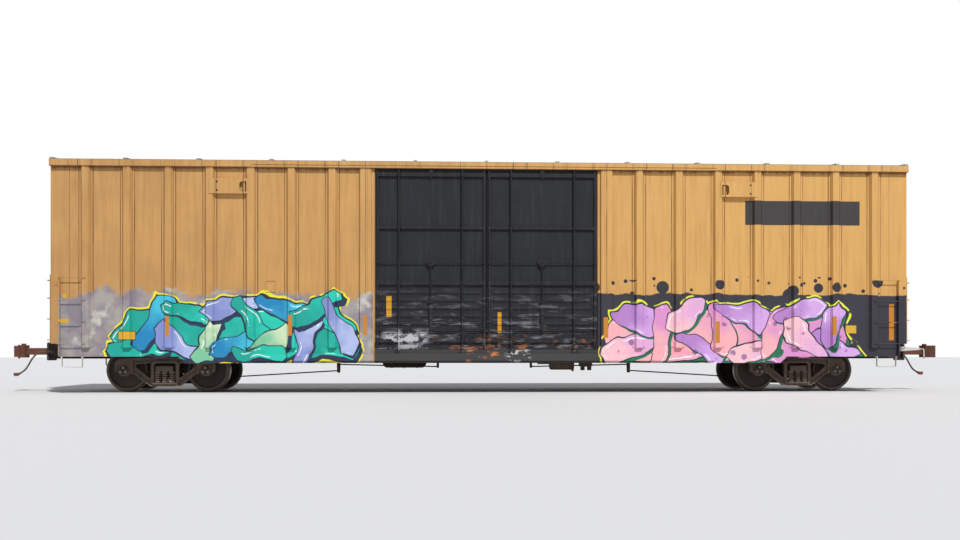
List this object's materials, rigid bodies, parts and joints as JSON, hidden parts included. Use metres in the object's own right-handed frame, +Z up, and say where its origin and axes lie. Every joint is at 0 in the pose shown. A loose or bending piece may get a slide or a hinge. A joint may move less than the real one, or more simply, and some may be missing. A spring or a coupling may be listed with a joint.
{
  "type": "railroad boxcar",
  "caption": "Full-size 60-foot high-cube railroad boxcar with paired plug doors on both sides, outside posts, swivelling trucks with turning wheelsets, swinging couplers and air hoses.",
  "frame": {"origin": "middle of the car on the plane that the bottoms of the wheel flanges touch", "axes": "+X along the car towards the A end, +Z up, -Y towards the side seen in the picture, metres"},
  "size_m": [21.36, 3.25, 5.2099],
  "materials": {
    "body_paint": "weathered satin paint",
    "door_paint": "weathered satin black paint",
    "roof_metal": "weathered galvanised sheet",
    "safety_white": "worn gloss paint",
    "grating_steel": "galvanised",
    "floor_steel": "worn steel plank",
    "hose_rubber": "dusty rubber",
    "brake_iron": "rusted",
    "wheel_steel": "rusted, tread polished",
    "coupler_steel": "rusted",
    "truck_iron": "dusty rust",
    "underframe_paint": "dirty matt paint"
  },
  "bodies": {
    "car": {"air_hose_a": "hose_rubber", "air_hose_b": "hose_rubber", "air_reservoir": "brake_iron", "body_bolsters": "underframe_paint", "brake_cylinder": "brake_iron", "brake_pipe": "brake_iron", "brake_rods": "brake_iron", "brake_wheel": "brake_iron", "center_plates": "underframe_paint", "center_sill": "underframe_paint", "control_valve": "brake_iron", "crossbearers": "underframe_paint", "door_frames": "body_paint", "door_locks": "door_paint", "end_ladders": "body_paint", "end_platforms": "grating_steel", "end_sills": "body_paint", "end_wall_a": "body_paint", "end_wall_b": "body_paint", "floor": "floor_steel", "gladhand_a": "brake_iron", "gladhand_b": "brake_iron", "hand_brake": "brake_iron", "plug_door_far_a": "door_paint", "plug_door_far_b": "door_paint", "plug_door_near_a": "door_paint", "plug_door_near_b": "door_paint", "roof": "roof_metal", "side_ladders": "body_paint", "side_sills": "body_paint", "side_wall_far_a": "body_paint", "side_wall_far_b": "body_paint", "side_wall_near_a": "body_paint", "side_wall_near_b": "body_paint", "sill_steps": "safety_white", "top_chords": "body_paint", "uncoupling_levers": "safety_white"},
    "truck_a": {"bearings_a": "truck_iron", "brake_beams_a": "truck_iron", "side_frames_a": "truck_iron", "springs_a": "truck_iron", "truck_bolster_a": "truck_iron"},
    "truck_b": {"bearings_b": "truck_iron", "brake_beams_b": "truck_iron", "side_frames_b": "truck_iron", "springs_b": "truck_iron", "truck_bolster_b": "truck_iron"},
    "wheelset_1": {"axle_1": "wheel_steel", "wheels_1": "wheel_steel"},
    "wheelset_2": {"axle_2": "wheel_steel", "wheels_2": "wheel_steel"},
    "wheelset_3": {"axle_3": "wheel_steel", "wheels_3": "wheel_steel"},
    "wheelset_4": {"axle_4": "wheel_steel", "wheels_4": "wheel_steel"},
    "coupler_a": {"coupler_a": "coupler_steel"},
    "coupler_b": {"coupler_b": "coupler_steel"}
  },
  "joints": [
    {"name": "truck_a_swivel", "type": "hinge", "parent": "car", "child": "truck_a", "pos_m": [7.0485, 0, 0.685], "axis": [0, 0, 1], "range_deg": [-8, 8]},
    {"name": "truck_b_swivel", "type": "hinge", "parent": "car", "child": "truck_b", "pos_m": [-7.0485, 0, 0.685], "axis": [0, 0, 1], "range_deg": [-8, 8]},
    {"name": "wheelset_1_roll", "type": "hinge", "parent": "truck_a", "child": "wheelset_1", "pos_m": [7.9375, 0, 0.486], "axis": [0, 1, 0], "continuous": true},
    {"name": "wheelset_2_roll", "type": "hinge", "parent": "truck_a", "child": "wheelset_2", "pos_m": [6.1595, 0, 0.486], "axis": [0, 1, 0], "continuous": true},
    {"name": "wheelset_3_roll", "type": "hinge", "parent": "truck_b", "child": "wheelset_3", "pos_m": [-6.1595, 0, 0.486], "axis": [0, 1, 0], "continuous": true},
    {"name": "wheelset_4_roll", "type": "hinge", "parent": "truck_b", "child": "wheelset_4", "pos_m": [-7.9375, 0, 0.486], "axis": [0, 1, 0], "continuous": true},
    {"name": "coupler_a_swing", "type": "hinge", "parent": "car", "child": "coupler_a", "pos_m": [9.42, 0, 0.905], "axis": [0, 0, 1], "range_deg": [-7, 7]},
    {"name": "coupler_b_swing", "type": "hinge", "parent": "car", "child": "coupler_b", "pos_m": [-9.42, 0, 0.905], "axis": [0, 0, 1], "range_deg": [-7, 7]}
  ]
}
